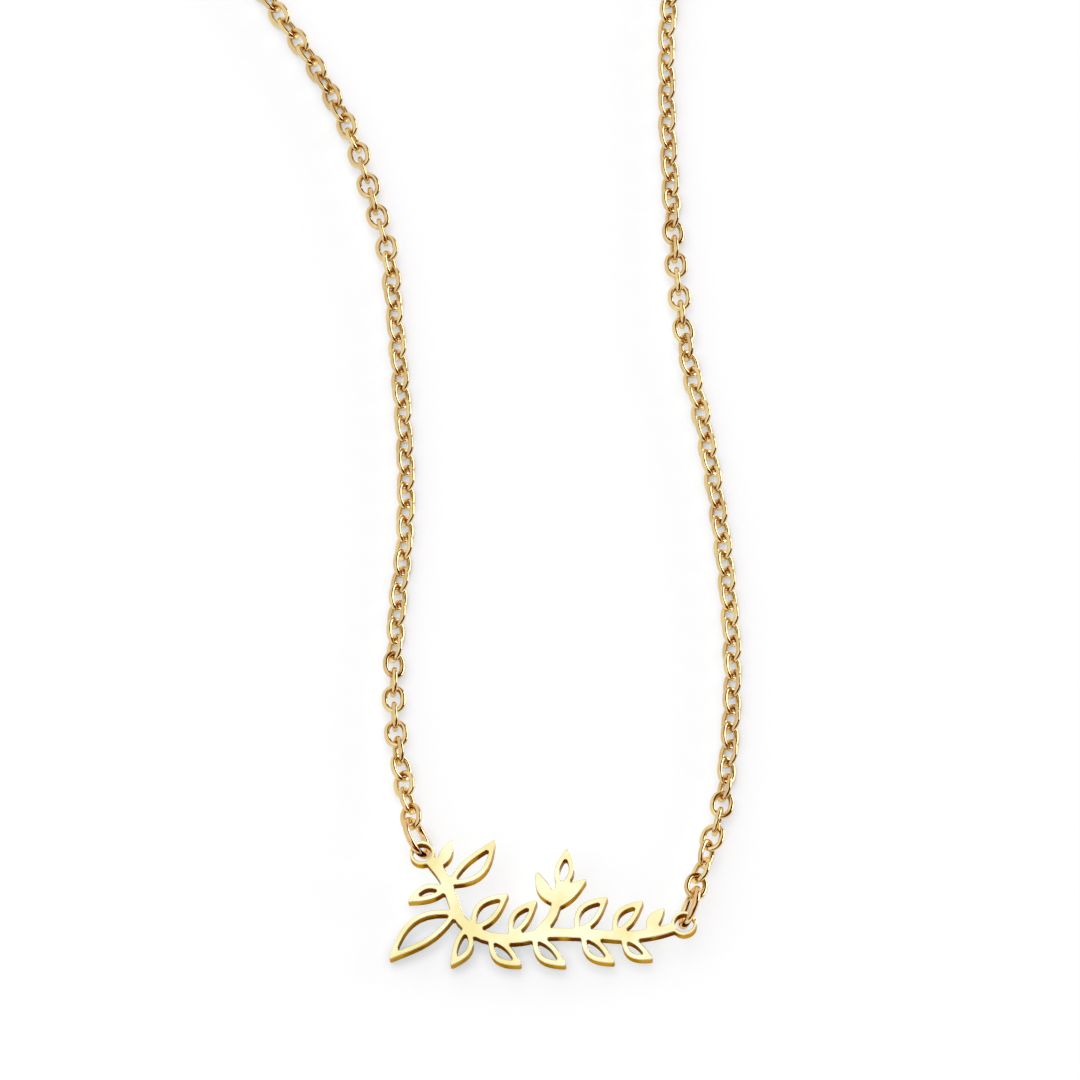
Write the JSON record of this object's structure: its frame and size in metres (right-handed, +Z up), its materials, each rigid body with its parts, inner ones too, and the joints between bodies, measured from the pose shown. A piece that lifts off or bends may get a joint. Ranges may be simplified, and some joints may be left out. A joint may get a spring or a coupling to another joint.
{
  "type": "nameplate necklace",
  "caption": "Gold-tone necklace lying in a whole loop: openwork sprig plate on jump rings, oval cable chain, spring-ring clasp and end ring.",
  "frame": {"origin": "middle of the lying necklace's box, on the surface that it lies on", "axes": "+X to the plate's right, +Y from the plate towards the clasp, +Z up from the surface"},
  "size_m": [0.0686, 0.175, 0.0038],
  "materials": {
    "plate_gold": "polished pale yellow gold plating",
    "ring_gold": "polished rosy gold plating",
    "chain_gold": "polished gold plating",
    "clasp_gold": "polished gold plating"
  },
  "bodies": {
    "root": {"name_plate": "plate_gold", "jump_ring_left": "ring_gold", "jump_ring_right": "ring_gold", "chain_left": "chain_gold", "chain_right": "chain_gold", "clasp": "clasp_gold", "end_ring": "ring_gold"}
  },
  "joints": []
}
